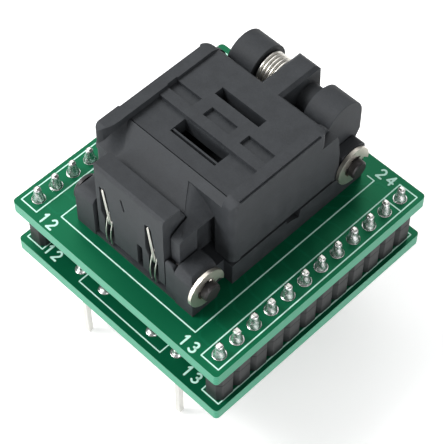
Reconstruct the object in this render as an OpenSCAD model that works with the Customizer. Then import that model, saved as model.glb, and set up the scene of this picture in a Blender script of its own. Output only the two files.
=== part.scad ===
// Clamshell test socket for a small leadless chip, carried on a two-board pin adapter.
// Seen from the front (-Y) the latch faces the viewer, the hinge is at the rear (+Y)
// and the long pins point down. The origin is under the centre, at the pin tips.

/* [Pin grid] */
// Distance between neighbouring pins
pitch = 2.54; // [2:0.01:3]
// Pins in each row
row_pins = 12; // [8:1:12]
// Half the distance between the two stacking rows
stack_x = 13.97; // [13.5:0.01:14.1]
// Half the distance between the two long-pin rows
dip_x = 7.62; // [7:0.01:8.4]
// Half the distance between the two spare hole rows
spare_x = 3.81; // [3:0.01:4.4]
// Side of a square pin
pin_w = 0.64; // [0.5:0.01:0.66]
// Length of the pyramid at a pin's tip
pin_tip = 0.45; // [0.2:0.05:0.8]
// Length of the long pins below their strip
dip_leg = 8.96; // [5:0.01:12]
// How far the long pins stand out of the lower board
dip_head = 1.1; // [0.8:0.05:1.6]
// How far the stacking pins stand out of the upper board
stack_head = 1.95; // [1.5:0.05:2.4]
// How far the stacking pins stand out under the lower board
stack_foot = 1.2; // [0.8:0.05:2]
// Radius of a drilled pin hole
hole_r = 0.5; // [0.47:0.01:0.55]

/* [Boards] */
// Board size across the rows
board_x = 31.6; // [30.4:0.1:34]
// Board size along the rows
board_y = 32.5; // [31:0.1:36]
// Board thickness
board_t = 1.6; // [1:0.1:2]
// Clear height between the boards
board_gap = 5.5; // [5:0.1:9]
// Board corner radius
board_r = 0.5; // [0.2:0.1:1.5]

/* [Header strips] */
// Width of a moulded strip
strip_w = 2.5; // [2:0.05:2.6]
// Height of a moulded strip
strip_h = 2.54; // [2:0.01:2.6]
// Depth of the notches between the pins
notch_d = 0.5; // [0.2:0.05:0.7]
// Half width of the notches
notch_w = 0.5; // [0.2:0.05:0.7]

/* [Solder] */
// Foot radius of a solder joint
solder_r = 0.8; // [0.7:0.01:1.1]
// Radius of a solder joint at its top
solder_top_r = 0.5; // [0.47:0.01:0.55]
// Height of a solder joint on the stacking pins
solder_h = 1.3; // [0.8:0.05:1.4]
// Height of a solder joint on the long pins
dip_solder_h = 0.75; // [0.4:0.05:0.8]
// Height of the solder caps on the spare holes
cap_h = 0.32; // [0.15:0.01:0.6]

/* [Socket body] */
// Half width of the socket
half_w = 8.85; // [8.6:0.05:9]
// Front and rear face of the middle block, from the centre
block_y = 8.7; // [8.4:0.05:8.9]
// Height of the middle block
block_h = 3.25; // [3:0.05:3.3]
// Front face of the front ears, from the centre
ear_y = 12.8; // [12.6:0.05:13]
// Height of the front ears
ear_h = 6.2; // [6:0.05:6.3]
// Inner face of the right front ear
ear_in_r = 6.25; // [6.2:0.05:6.5]
// Inner face of the left front ear
ear_in_l = 6.0; // [5.95:0.05:6.4]
// Corner radius on the ears
ear_r = 1.1; // [0.5:0.1:1.5]
// Rear face of the rear ears
rear_y = 13.3; // [13.2:0.05:13.6]
// Height of the rear ears
rear_h = 6.5; // [6.2:0.05:6.6]
// Inner face of the rear ears
rear_in = 7.5; // [7.45:0.05:7.9]
// Height of the front sill under the latch
sill_h = 0.45; // [0.3:0.05:0.5]

/* [Cross pins] */
// Radius of the two cross pins
shaft_r = 1.1; // [1:0.05:1.15]
// Distance of both cross pins from the centre line
shaft_y = 11.1; // [11:0.05:11.2]
// Height of both cross pins above the board
shaft_z = 4.15; // [4.1:0.05:4.3]
// Radial clearance of a turning part on its pin
run_gap = 0.04; // [0.02:0.01:0.08]
// How far the pins reach past the socket's right face
shaft_out = 1.4; // [1.1:0.05:1.8]
// Outside radius of a retaining ring
ring_r = 2.4; // [2.2:0.05:2.5]
// Thickness of a retaining ring
ring_t = 0.4; // [0.3:0.05:0.5]
// Radius of the pin in its ring groove
groove_r = 0.72; // [0.6:0.01:0.8]
// Radius of a cross pin's head
head_r = 1.6; // [1.4:0.05:1.8]
// Thickness of a cross pin's head
head_t = 0.5; // [0.3:0.05:0.7]
// Bevel at both ends of a cross pin
pin_bevel = 0.15; // [0.1:0.01:0.25]

/* [Hinge] */
// Distance of the hinge axis behind the centre
hinge_y = 11.2; // [11.15:0.05:11.3]
// Height of the hinge axis above the board
hinge_z = 9.4; // [9.3:0.05:9.5]
// Radius of the knuckles
knuckle_r = 2.85; // [2.6:0.05:2.9]
// Outer end of the knuckles, from the centre
knuckle_out = 7.4; // [7.3:0.05:7.45]
// Inner end of the knuckles, from the centre
knuckle_in = 3.85; // [3.8:0.05:4.2]
// Radius of the hinge pin
hinge_pin_r = 0.9; // [0.7:0.05:1]
// Radius of the lid's hub on the hinge pin
hub_r = 1.85; // [1.7:0.05:1.88]
// Left face of the lid's ear
lid_ear_l = -1.0; // [-1.1:0.05:-0.9]
// Right face of the lid's ear
lid_ear_r = 2.0; // [1.8:0.05:2.4]
// Wire diameter of the hinge spring
coil_d = 0.4; // [0.3:0.02:0.44]
// Mean radius of the hinge spring
coil_r = 2.13; // [2.12:0.01:2.2]
// Turns of the hinge spring
coil_n = 5; // [4:1:5]

/* [Lid] */
// Lower edge of the lid
lid_z = 3.5; // [3.45:0.05:3.7]
// Top of the side strips
lid_top = 13.4; // [13.2:0.05:13.5]
// Depth of the top face below the strips
top_step = 0.4; // [0.2:0.05:0.5]
// Depth of the front recess below the strips
recess_step = 0.9; // [0.6:0.05:1.2]
// Width of the side strips
strip_side = 1.6; // [1.2:0.1:2]
// Front face of the right column
column_y = 6.9; // [6.7:0.05:7]
// Where the sloping front starts
slope_y = 5.9; // [5.7:0.05:6]
// Steepness of the sloping front, in degrees
slope_a = 29; // [27:1:30]
// Where the sloping front ends, over the latch
slope_end = 9.4; // [9.3:0.05:9.45]
// Width of the fine groove at the foot of the recess
line_w = 0.16; // [0.1:0.01:0.3]
// Depth of that groove
line_d = 0.3; // [0.15:0.05:0.5]
// Front face of the left corner
corner_y = 9.6; // [9.4:0.05:9.8]
// Radius of the left strip's upper front corner
corner_r = 1.0; // [0.6:0.1:1.2]
// Radius of the lid's upright front edges
edge_r = 0.8; // [0.4:0.1:1]
// Front face of the right cheek
cheek_y = 11.75; // [11.5:0.05:11.8]
// Right face of the right cheek
cheek_x = 6.1; // [5.9:0.05:6.1]
// Height of the cheek's right upper edge
cheek_top = 9.6; // [9.2:0.05:9.8]
// Lower edge of the cheek, over the cross pin
cheek_low = 5.65; // [5.6:0.05:6]
// Left face of the right column
column_x = 6.25; // [6.2:0.05:6.5]
// Depth of the groove between the cheek and the column
column_gap = 1.0; // [0.5:0.1:1.1]
// Rear edge of the lid's top
lid_rear = 7.3; // [7.1:0.05:7.5]
// Rear edge of the side skirts
skirt_y = 9.2; // [9:0.05:9.3]
// Half width of the hollow over the chip nest
hollow_x = 7.2; // [6.6:0.05:7.2]
// Front wall of the hollow, from the centre
hollow_front = 5.2; // [4.8:0.05:5.3]
// Rear wall of the hollow, from the centre
hollow_rear = 6.1; // [5.8:0.05:6.2]
// Ceiling of the hollow
hollow_z = 10.6; // [10.4:0.05:10.8]
// Window in the top, half length
window_x = 3.25; // [2.8:0.05:3.5]
// Long slot in the top, half length
slot_x = 3.18; // [2.8:0.05:3.4]
// Length of a shallow pocket
pocket_l = 3.75; // [3:0.05:4.2]
// Width of a shallow pocket
pocket_w = 1.4; // [1:0.05:1.4]
// Depth of a shallow pocket
pocket_d = 0.45; // [0.3:0.05:0.8]
// Distance between the pockets
pocket_step = 5.3; // [4.8:0.05:5.3]

/* [Latch] */
// Left face of the latch
latch_l = -5.75; // [-5.8:0.05:-5.6]
// Right face of the latch
latch_r = 4.6; // [4.5:0.05:4.65]
// Front face of the latch
latch_y = 12.6; // [12.5:0.05:12.7]
// Height of the latch's lip
latch_h = 12.4; // [12:0.05:12.6]
// Rear edge of the latch's flat top
latch_rear = 10.15; // [10:0.05:10.4]
// Lower edge of the latch
latch_z = 1.15; // [1.1:0.05:1.5]
// Radius of the latch's hub
latch_hub = 1.95; // [1.8:0.05:2]
// Gap between the latch's rear face and the lid's arc
latch_gap = 0.15; // [0.1:0.01:0.25]
// Radius of the lid's front arc around the hinge
arc_r = 20.6; // [20.5:0.05:20.7]
// Tip of the left spring
slot_l = -4.45; // [-4.5:0.05:-4.4]
// Tip of the right spring
slot_r = 2.3; // [2.2:0.05:2.35]
// Sideways lean of a spring's leg, from its tip to its coils
leg_lean = 0.65; // [0.5:0.05:0.7]
// Top of the spring slots
slot_top = 9.6; // [9:0.05:10]
// Wire diameter of the latch springs
leg_d = 0.16; // [0.12:0.02:0.18]
// Coil radius of the latch springs
leg_coil = 1.4; // [1.36:0.01:1.42]
// Half the distance between a spring's feet
leg_foot = 0.38; // [0.34:0.02:0.5]
// Half width of the fork round a spring's coils
coil_room = 0.8; // [0.78:0.01:0.85]

/* [Chip nest] */
// Side of the pocket that takes the chip
chip_w = 4.1; // [3.9:0.05:4.3]
// Contacts on each side
side_contacts = 6; // [4:1:6]
// Distance between contacts
contact_pitch = 0.5; // [0.4:0.05:0.5]
// Thickness of a contact blade
contact_t = 0.2; // [0.12:0.02:0.22]

/* [Hidden] */
$fn = 48;
E = 0.02;
strip_gap = board_gap - strip_h;
low_top = -board_t - board_gap;
low_bot = low_top - board_t;
deck = dip_leg + strip_h - low_bot;
row_half = (row_pins - 1) * pitch / 2;
top_z = lid_top - top_step;
recess_z = lid_top - recess_step;
ring_x = half_w + 0.1;
black = [0.13, 0.13, 0.14];
green = [0.05, 0.42, 0.25];
steel = [0.78, 0.78, 0.76];
tin = [0.8, 0.81, 0.8];

// ---- shared shapes ----

// rectangle with round corners, centred
module rrect(w, d, r) {
    square([w - 2 * r, d], center = true);
    square([w, d - 2 * r], center = true);
    for (sx = [-1, 1], sy = [-1, 1])
        translate([sx * (w / 2 - r), sy * (d / 2 - r)]) circle(r);
}

// stands a (y, z) outline up and pulls it along X from x0 to x1
module along_x(x0, x1) {
    translate([x0, 0, 0]) rotate([90, 0, 90]) linear_extrude(x1 - x0) children();
}

// stands an (x, z) outline up and pulls it along Y from y0 to y1
module along_y(y0, y1) {
    translate([0, y1, 0]) rotate([90, 0, 0]) linear_extrude(y1 - y0) children();
}

// box by its two corners
module box(a, b) {
    translate(a) cube(b - a);
}

// round bar along X
module bar_x(r, x0, x1, y, z) {
    translate([x0, y, z]) rotate([0, 90, 0]) cylinder(r = r, h = x1 - x0);
}

// puts its children on every pin position of the rows at +x and -x
module on_rows(x) {
    for (s = [-1, 1], i = [0:row_pins - 1])
        translate([s * x, i * pitch - row_half, 0]) children();
}

// square pin with a pyramid at both ends
function pin_side(w, z0, z1) = [
    [-w / 4, z0], [w / 4, z0], [w / 2, z0 + pin_tip], [w / 2, z1 - pin_tip],
    [w / 4, z1], [-w / 4, z1], [-w / 2, z1 - pin_tip], [-w / 2, z0 + pin_tip]
];
module square_pin(z0, z1) {
    intersection() {
        along_x(-pin_w / 2, pin_w / 2) polygon(pin_side(pin_w, z0, z1));
        along_y(-pin_w / 2, pin_w / 2) polygon(pin_side(pin_w, z0, z1));
    }
}

// outline of a moulded strip with a notch between each two pins
function strip_half() = [
    for (i = [0:row_pins - 1]) let (y = i * pitch - row_half)
        each [[strip_w / 2 - notch_d, y - pitch / 2], [strip_w / 2, y - pitch / 2 + notch_w],
              [strip_w / 2, y + pitch / 2 - notch_w]],
    [strip_w / 2 - notch_d, row_half + pitch / 2]
];
module strip_2d() {
    difference() {
        polygon(concat(strip_half(), [for (p = strip_half()) -p]));
        for (i = [0:row_pins - 1])
            translate([0, i * pitch - row_half]) square(pin_w, center = true);
    }
}
module strips(x, z) {
    for (s = [-1, 1]) translate([s * x, 0, z]) linear_extrude(strip_h) strip_2d();
}

// solder cone with a hollow flank, drawn on a pin that stands in it
function flank(r0, r1, h) = [for (i = [0:6]) let (t = i / 6) [r1 + (r0 - r1) * pow(1 - t, 2), h * t]];
module solder_joint(h) {
    difference() {
        rotate_extrude($fn = 32) polygon(concat([[0, 0]], flank(solder_r, solder_top_r, h), [[0, h]]));
        cube([pin_w, pin_w, 4 * h], center = true);
    }
}

// tube of wire along a list of points: each ring's side vector is carried on from the ring before
function unit(v) = v / norm(v);
function route_dir(p, i) = unit(p[min(i + 1, len(p) - 1)] - p[max(i - 1, 0)]);
function sides(p, i, a) = i == len(p) ? [] : let (
    t = route_dir(p, i),
    b = unit(a - (a * t) * t)
) concat([b], sides(p, i + 1, b));
function route_ring(p, a, i, r, n) = let (b = cross(route_dir(p, i), a[i]))
    [for (k = [0:n - 1]) p[i] + r * (cos(360 * k / n) * a[i] + sin(360 * k / n) * b)];
module wire(p, d, n = 8) {
    m = len(p);
    a = sides(p, 0, [1, 0, 0]);
    polyhedron(
        points = [for (i = [0:m - 1]) each route_ring(p, a, i, d / 2, n)],
        faces = concat(
            [[for (k = [0:n - 1]) k]],
            [for (i = [0:m - 2], k = [0:n - 1]) each [
                [i * n + k, (i + 1) * n + k, i * n + (k + 1) % n],
                [i * n + (k + 1) % n, (i + 1) * n + k, (i + 1) * n + (k + 1) % n]]],
            [[for (k = [n - 1:-1:0]) (m - 1) * n + k]]
        ),
        convexity = 10
    );
}

// points of a coil about an axis along X: angle 0 points to +Y, 90 to +Z
function coil(x0, x1, y, z, r, a0, a1, n) = [
    for (i = [0:n]) let (t = i / n, a = a0 + (a1 - a0) * t)
        [x0 + (x1 - x0) * t, y + r * cos(a), z + r * sin(a)]
];

// ---- boards and pins (heights count from the upper board's top face) ----

module drill(x, r, z) {
    on_rows(x) translate([0, 0, z - 1]) cylinder(r = r, h = board_t + 2);
}

module upper_board() {
    color(green) translate([0, 0, deck]) difference() {
        translate([0, 0, -board_t]) linear_extrude(board_t) rrect(board_x, board_y, board_r);
        drill(stack_x, hole_r, -board_t);
        contact_tails(0.08, -board_t - 1, 1);
    }
}

module lower_board() {
    color(green) translate([0, 0, deck]) difference() {
        translate([0, 0, low_bot]) linear_extrude(board_t) rrect(board_x, board_y, board_r);
        drill(stack_x, hole_r, low_bot);
        drill(dip_x, hole_r, low_bot);
        drill(spare_x, hole_r, low_bot);
    }
}

module upper_strips() {
    color(black) translate([0, 0, deck]) strips(stack_x, -board_t - strip_h);
}

// the lower strips are taller: they fill what the upper ones leave of the gap
module lower_strips() {
    color(black) translate([0, 0, deck]) for (s = [-1, 1])
        translate([s * stack_x, 0, low_top]) linear_extrude(strip_gap) strip_2d();
}

module dip_strips() {
    color(black) translate([0, 0, deck]) strips(dip_x, low_bot - strip_h);
}

module stack_pins() {
    color(steel) translate([0, 0, deck])
        on_rows(stack_x) square_pin(low_bot - stack_foot, stack_head);
}

module dip_pins() {
    color(steel) on_rows(dip_x) square_pin(0, deck + low_top + dip_head);
}

module stack_solder() {
    color(tin) translate([0, 0, deck]) on_rows(stack_x) solder_joint(solder_h);
}

module stack_foot_solder() {
    color(tin) translate([0, 0, deck + low_bot])
        on_rows(stack_x) mirror([0, 0, 1]) solder_joint(stack_foot * 0.6);
}

module dip_solder() {
    color(tin) translate([0, 0, deck + low_top]) on_rows(dip_x) solder_joint(dip_solder_h);
}

// the spare holes are filled with solder, which stands up as a low cap
module spare_caps() {
    color(tin) translate([0, 0, deck + low_top]) on_rows(spare_x) {
        rotate_extrude($fn = 32)
            polygon(concat([[0, 0]], [for (a = [0:18:90]) [solder_r * 0.9 * cos(a), cap_h * sin(a)]]));
        translate([0, 0, -board_t]) cylinder(r = hole_r, h = board_t + E);
    }
}

// ---- socket body ----

// (y, z) outline with its upper front corner rounded
module ear_side(y0, y1, h, r) {
    translate([y0, 0]) square([y1 - y0, h - r]);
    translate([y0 + r, 0]) square([y1 - y0 - r, h]);
    translate([y0 + r, h - r]) circle(r);
}

// front ear from its inner to its outer face; the outer upper edge is rounded
module front_ear(inner, s) {
    mirror([s < 0 ? 1 : 0, 0, 0]) intersection() {
        along_x(inner, half_w) ear_side(-ear_y, -ear_y + 3.65, ear_h, ear_r);
        along_y(-ear_y - 1, 0) union() {
            translate([inner, 0]) square([half_w - inner - ear_r, ear_h]);
            translate([inner, 0]) square([half_w - inner, ear_h - ear_r]);
            translate([half_w - ear_r, ear_h - ear_r]) circle(ear_r);
        }
    }
}

module rear_ear() {
    along_x(rear_in, half_w) union() {
        mirror([1, 0]) ear_side(-rear_y, -skirt_y - 0.4, rear_h, ear_r);
        translate([block_y - 1, 0]) square([2.5, block_h]);
    }
}

// comb of slits that the contact blades stand in
module contact_slits(extra, z0, z1) {
    for (q = [0:3]) rotate(90 * q)
        for (i = [0:side_contacts - 1])
            translate([(i - (side_contacts - 1) / 2) * contact_pitch, 0, 0])
                box([-contact_t / 2 - extra, 1.35, z0], [contact_t / 2 + extra, contact_out(i) + 0.25, z1]);
}

// where the tail of contact i goes down: the tails stand in two staggered ranks
function contact_out(i) = i % 2 == 0 ? 5.2 : 6.4;

module contact_tails(extra, z0, z1) {
    for (q = [0:3]) rotate(90 * q)
        for (i = [0:side_contacts - 1])
            translate([(i - (side_contacts - 1) / 2) * contact_pitch, contact_out(i), 0])
                box([-contact_t / 2 - extra, -0.15 - extra, z0], [contact_t / 2 + extra, 0.15 + extra, z1]);
}

module socket_base() {
    color(black) translate([0, 0, deck]) difference() {
        union() {
            linear_extrude(block_h) rrect(2 * half_w, 2 * block_y, 0.7);
            front_ear(ear_in_r, 1);
            front_ear(ear_in_l, -1);
            // second, narrower lobe between the latch and the right ear, in front of the cross pin
            intersection() {
                along_x(latch_r + 0.2, ear_in_r - 0.12)
                    ear_side(-ear_y + 0.15, -shaft_y - shaft_r - 0.1, ear_h - 0.3, 0.3);
                along_y(-ear_y, 0) union() {
                    translate([latch_r, 0]) square([ear_in_r - latch_r - 0.82, ear_h]);
                    translate([latch_r, 0]) square([ear_in_r - latch_r, ear_h - 1]);
                    translate([ear_in_r - 0.82, ear_h - 1]) circle(0.7);
                }
            }
            box([latch_r + 0.2, -ear_y + 0.15, 0], [ear_in_r + 1, -block_y + 1, 1.6]);
            rear_ear();
            mirror([1, 0, 0]) rear_ear();
            // sill under the latch
            box([-ear_in_l - 1, -ear_y + 0.1, 0], [ear_in_r + 1, -block_y + 1, sill_h]);
        }
        // well for the chip nest, and the slits of the contacts
        box([-4.3, -4.3, 1.2], [4.3, 4.3, block_h + 1]);
        contact_slits(0.03, 0.8, 1.42);
        contact_tails(0.03, -1, 1.2);
        // clearance in front of the side walls, behind the front ears
        for (s = [-1, 1]) translate([s * (half_w - 0.55), -column_y - 1.05, -1])
            linear_extrude(block_h + 2) square([1.4, 2], center = true);
        // finger notch in the right upper edge
        along_x(half_w - 1.2, half_w + 1)
            polygon([[1.2, block_h + 1], [1.2, block_h - 0.55], [2, block_h - 0.65],
                     [3.1, block_h - 1.1], [3.6, block_h + 1]]);
        // bores of the two cross pins
        for (y = [-shaft_y, shaft_y]) bar_x(shaft_r, -half_w - 2, half_w + 2, y, shaft_z);
        // room for the turning latch over the sill
        box([latch_l - 0.2, -ear_y - 1, sill_h], [latch_r + 0.2, -block_y, ear_h + 1]);
    }
}

// plate with the pocket for the chip: slits let the contacts reach its rim
module chip_nest() {
    color(black) translate([0, 0, deck]) difference() {
        union() {
            box([-4.25, -4.25, 1.2], [4.25, 4.25, 3.6]);
            box([-3.3, -3.3, 3.6], [3.3, 3.3, 4.05]);
        }
        box([-chip_w / 2, -chip_w / 2, 3.2], [chip_w / 2, chip_w / 2, 5]);
        // chamfer round the pocket
        for (q = [0:3]) rotate(90 * q) along_x(-chip_w / 2 - 0.35, chip_w / 2 + 0.35)
            polygon([[chip_w / 2 - 0.01, 3.7], [chip_w / 2 + 0.36, 4.06], [chip_w / 2 - 0.01, 4.06]]);
        contact_slits(0.03, 1.1, 3.21);
        // air hole under the chip
        translate([0, 0, 0]) cylinder(r = 0.6, h = 4);
    }
}

// one bent blade, drawn in (y, z): tail, foot, spring arch and contact tip
module contact_blade(out) {
    translate([-contact_t / 2, 0, 0]) along_x(0, contact_t) polygon([
        [out - 0.15, -board_t - 0.8], [out + 0.15, -board_t - 0.8], [out + 0.15, 1.15],
        [3.4, 1.35], [2.5, 1.7], [2.2, 2.3], [1.95, 3.3], [1.6, 3.3],
        [1.85, 2.1], [2.3, 1.35], [3.2, 1.0], [out - 0.15, 0.85]]);
}

// the blades of two facing sides; turn is 0 for front and rear, 90 for left and right
module contacts(turn) {
    color(steel) translate([0, 0, deck]) for (q = [0, 180]) rotate(turn + q)
        for (i = [0:side_contacts - 1])
            translate([(i - (side_contacts - 1) / 2) * contact_pitch, 0, 0])
                contact_blade(contact_out(i));
}
module contacts_y() { contacts(0); }
module contacts_x() { contacts(90); }

// ---- cross pins and retaining rings ----

// turned pin: headed at the left, grooved for its ring at the right
module cross_pin(y) {
    end = half_w + shaft_out;
    color(steel) translate([0, y, deck + shaft_z]) rotate([0, 90, 0]) rotate_extrude() polygon([
        [0, -half_w - head_t], [head_r - pin_bevel, -half_w - head_t],
        [head_r, -half_w - head_t + pin_bevel], [head_r, -half_w], [shaft_r, -half_w],
        [shaft_r, ring_x - 0.02], [groove_r, ring_x - 0.02],
        [groove_r, ring_x + ring_t + 0.02], [shaft_r, ring_x + ring_t + 0.02],
        [shaft_r, end - pin_bevel], [shaft_r - pin_bevel, end], [0, end]]);
}
module latch_pin() { cross_pin(-shaft_y); }
module bracket_pin() { cross_pin(shaft_y); }

// flat open ring that grips the groove with three prongs; its mouth faces down
module ring_2d() {
    difference() {
        circle(ring_r);
        circle(ring_r * 0.56);
        translate([0, -ring_r]) square([2.6, 2 * ring_r], center = true);
    }
    for (a = [90, 205, 335]) rotate(a)
        difference() {
            translate([groove_r - 0.05, -0.42]) square([ring_r * 0.8 - groove_r, 0.84]);
            circle(groove_r);
        }
}
module retaining_rings() {
    color(tin) translate([0, 0, deck + shaft_z]) for (y = [-shaft_y, shaft_y])
        translate([0, y, 0]) along_x(ring_x, ring_x + ring_t) rotate(45) ring_2d();
}

// ---- hinge ----

module hinge_bracket() {
    color(black) translate([0, 0, deck]) difference() {
        union() {
            // beam held by the rear cross pin
            box([-knuckle_out, block_y + 0.25, 0], [knuckle_out, rear_y - 0.1, 6.0]);
            for (s = [-1, 1]) mirror([s < 0 ? 1 : 0, 0, 0]) along_x(knuckle_in, knuckle_out) union() {
                translate([hinge_y, hinge_z]) circle(knuckle_r);
                polygon([[hinge_y - knuckle_r, hinge_z], [block_y + 0.25, 5], [rear_y - 0.1, 5],
                         [hinge_y + knuckle_r, 6.6], [hinge_y + knuckle_r, hinge_z]]);
            }
        }
        bar_x(shaft_r, -half_w, half_w, shaft_y, shaft_z);
        // the hinge pin goes in from the left and ends inside the right knuckle
        bar_x(hinge_pin_r, -half_w, knuckle_out - 0.8, hinge_y, hinge_z);
    }
}

module hinge_pin() {
    color(steel) translate([0, 0, deck])
        bar_x(hinge_pin_r, -knuckle_out + 0.3, knuckle_out - 0.85, hinge_y, hinge_z);
}

// torsion spring: one leg stands on the bracket, the other reaches into the lid
coil_x0 = -knuckle_in + coil_d / 2 + 0.03;
coil_x1 = lid_ear_l - coil_d / 2 - 0.05;
module hinge_spring() {
    color(tin) translate([0, 0, deck]) wire(concat(
        [for (i = [0:3]) [coil_x0, hinge_y + coil_r, hinge_z - 3.6 + 0.9 * i]],
        coil(coil_x0, coil_x1, hinge_y, hinge_z, coil_r, 0, 360 * coil_n + 90, 18 * coil_n),
        [for (i = [1:4]) [coil_x1, hinge_y - i, hinge_z + coil_r]]), coil_d);
}

// ---- lid ----

// height of the sloping front at distance y in front of the centre
function slope_z(y) = recess_z + 0.1 - (y - slope_y) * tan(slope_a);
// points of an arc about the hinge axis, at the front, between two heights
function hinge_arc(r, z0, z1, n) = [
    for (i = [0:n]) let (z = z0 + (z1 - z0) * i / n)
        [hinge_y - sqrt(r * r - pow(z - hinge_z, 2)), z]
];

// (y, z) outline of the lid's middle: its front ends in an arc about the hinge
module lid_middle() {
    polygon(concat(
        hinge_arc(arc_r, lid_z, slope_z(slope_end), 8),
        [[-slope_y, slope_z(slope_y)], [-slope_y, recess_z], [-1.65, recess_z], [-1.65, top_z],
         [lid_rear - 0.3, top_z], [lid_rear, top_z - 0.3], [lid_rear, lid_z]]));
}

// (y, z) outline of a side strip with its skirt; the rear edge curves down and out
module side_outline(front, r) {
    polygon(concat(
        [[-front, lid_z]],
        [for (a = [180:-15:90]) [-front + r + r * cos(a), lid_top - r + r * sin(a)]],
        [[lid_rear - 1.1, lid_top], [lid_rear - 0.3, lid_top - 0.3], [lid_rear + 0.4, lid_top - 1.0],
         [skirt_y - 0.75, lid_top - 2.2], [skirt_y - 0.4, lid_top - 3.3],
         [skirt_y - 0.12, lid_top - 5.4], [skirt_y, lid_z]]));
}

module lid_shell() {
    // middle, between the strips
    along_x(-half_w + strip_side, half_w - strip_side) lid_middle();
    // right strip, skirt and front column
    along_x(half_w - strip_side, half_w) side_outline(column_y, 1.2);
    // left strip and skirt, longer than the right one
    along_x(-half_w, -half_w + strip_side) side_outline(corner_y, corner_r);
    // left corner, beside the latch
    along_x(-half_w, latch_l - 0.25) polygon([
        [-corner_y, lid_z], [-corner_y, slope_z(corner_y)], [-slope_y, slope_z(slope_y)], [-slope_y, lid_z]]);
    // right cheek, beside the latch: it arches over the cross pin
    along_x(latch_r + 0.25, cheek_x) polygon([
        [-cheek_y, cheek_low], [-cheek_y, slope_z(cheek_y) - 0.2], [-cheek_y + 0.2, slope_z(cheek_y - 0.2)],
        [-slope_y, slope_z(slope_y)], [-slope_y, lid_z], [-slope_end, lid_z], [-slope_end, cheek_low]]);
}

// what rounds an upright edge of the lid at (x, y); side is 1 on the left and -1 on the right
module edge_cut(x, y, side) {
    translate([x, y, lid_z - 1]) mirror([side < 0 ? 1 : 0, 0, 0]) difference() {
        translate([-1, -1, 0]) cube([edge_r + 1, edge_r + 1, lid_top]);
        translate([edge_r, edge_r, -1]) cylinder(r = edge_r, h = lid_top + 2);
    }
}

module lid() {
    color(black) translate([0, 0, deck]) difference() {
        union() {
            lid_shell();
            // ear and hub on the hinge pin
            intersection() {
                along_x(lid_ear_l, lid_ear_r) union() {
                    polygon([[lid_rear - 1, 8.2], [lid_rear - 1, top_z], [hinge_y + 1.5, top_z],
                             [hinge_y + 2.0, top_z - 0.5], [hinge_y + 2.1, hinge_z],
                             [hinge_y - 1.6, hinge_z - 1.1]]);
                    translate([hinge_y, hinge_z]) circle(hub_r + 0.25);
                }
                along_y(lid_rear - 2, hinge_y + 3) polygon([
                    [lid_ear_l, hinge_z - 3], [lid_ear_l, top_z - 0.4], [lid_ear_l + 0.4, top_z],
                    [lid_ear_r - 0.4, top_z], [lid_ear_r, top_z - 0.4], [lid_ear_r, hinge_z - 3]]);
            }
            bar_x(hub_r, -knuckle_in + 0.08, knuckle_in - 0.08, hinge_y, hinge_z);
        }
        // bore on the hinge pin
        bar_x(hinge_pin_r + run_gap, -half_w, half_w, hinge_y, hinge_z);
        // hollow over the chip nest
        box([-hollow_x, -hollow_front, lid_z - 1], [hollow_x, hollow_rear, hollow_z]);
        // rear corners between the skirts, clear of the knuckles
        for (s = [-1, 1]) mirror([s < 0 ? 1 : 0, 0, 0])
            box([knuckle_in - 0.3, lid_rear + 0.75, lid_z - 1], [rear_in + 0.1, rear_y, lid_top + 1]);
        // front right corner in front of the column is open; a slope leads down to the cheek's edge
        along_y(-cheek_y - 1, -column_y) polygon([
            [cheek_x, lid_z - 1], [cheek_x, cheek_top], [cheek_x - 1.1, cheek_top + 1.5],
            [cheek_x - 2, cheek_top + 3], [half_w + 1, cheek_top + 3], [half_w + 1, lid_z - 1]]);
        // groove between the cheek and the column
        translate([0, 0, lid_z - 1]) linear_extrude(cheek_top - 0.2 - lid_z + 1) polygon([
            [column_x, -column_y - 2.4], [cheek_x, -column_y - 2.4], [cheek_x - column_gap, -column_y - 1.4],
            [cheek_x - column_gap, -column_y + 0.7], [column_x, -column_y + 0.7]]);
        // upright edges of the left corner and the column
        edge_cut(-half_w, -corner_y, 1);
        edge_cut(half_w, -column_y, -1);
        // fine groove where the recess meets the slope
        box([-half_w + strip_side, -slope_y, recess_z - line_d],
            [half_w - strip_side, -slope_y + line_w, recess_z + 1]);
        // the left corner stays clear of the ear below it
        box([-half_w - 1, -corner_y - 1, lid_z - 1], [latch_l - 0.2, -8.55, ear_h + 0.3]);
        // window, with its thin rib left standing, and the long slot
        difference() {
            box([-window_x, -3.95, 9], [window_x, -1.75, lid_top + 1]);
            box([-window_x - 1, -3.62, 8], [window_x + 1, -3.4, recess_z - 0.1]);
        }
        box([-slot_x, 2.5, 9], [slot_x, 3.7, lid_top + 1]);
        // three shallow pockets
        for (i = [-1:1]) translate([i * pocket_step - 0.2 - pocket_l / 2, 1.05 - pocket_w, top_z - pocket_d])
            cube([pocket_l, pocket_w, 2]);
        // thin rebate along both long edges
        for (s = [-1, 1]) translate([s * half_w, 0, lid_top]) rotate([90, 0, 0])
            linear_extrude(2 * slope_y, center = true) square([0.5, 0.5], center = true);
        // hole for the spring's leg
        translate([coil_x1, lid_rear - 1.2, hinge_z + coil_r]) rotate([-90, 0, 0]) cylinder(r = 0.32, h = 3);
        // round corners of the top, seen from above
        for (s = [-1, 1]) translate([s * (half_w - 1.2), lid_rear - 1.3, top_z - 2]) difference() {
            translate([s > 0 ? 0 : -2.4, 0, 0]) cube([2.4, 3.5, 4]);
            translate([0, 0, -1]) cylinder(r = 1.2, h = 6);
            translate([-3, -3, -1]) cube([6, 3.01, 6]);
        }
    }
}

// pressure pad under the lid: plate, foot and four posts
module pressure_pad() {
    color(black) translate([0, 0, deck]) union() {
        box([-4.9, -3.1, 5.2], [4.9, 3.1, 7.0]);
        box([-1.9, -1.9, 4.25], [1.9, 1.9, 5.3]);
        for (sx = [-1, 1], sy = [-1, 1])
            translate([sx * 4.15, sy * 2.35, 6.9]) cylinder(r = 0.7, h = hollow_z - 6.9);
    }
}

// ---- latch ----

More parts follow.
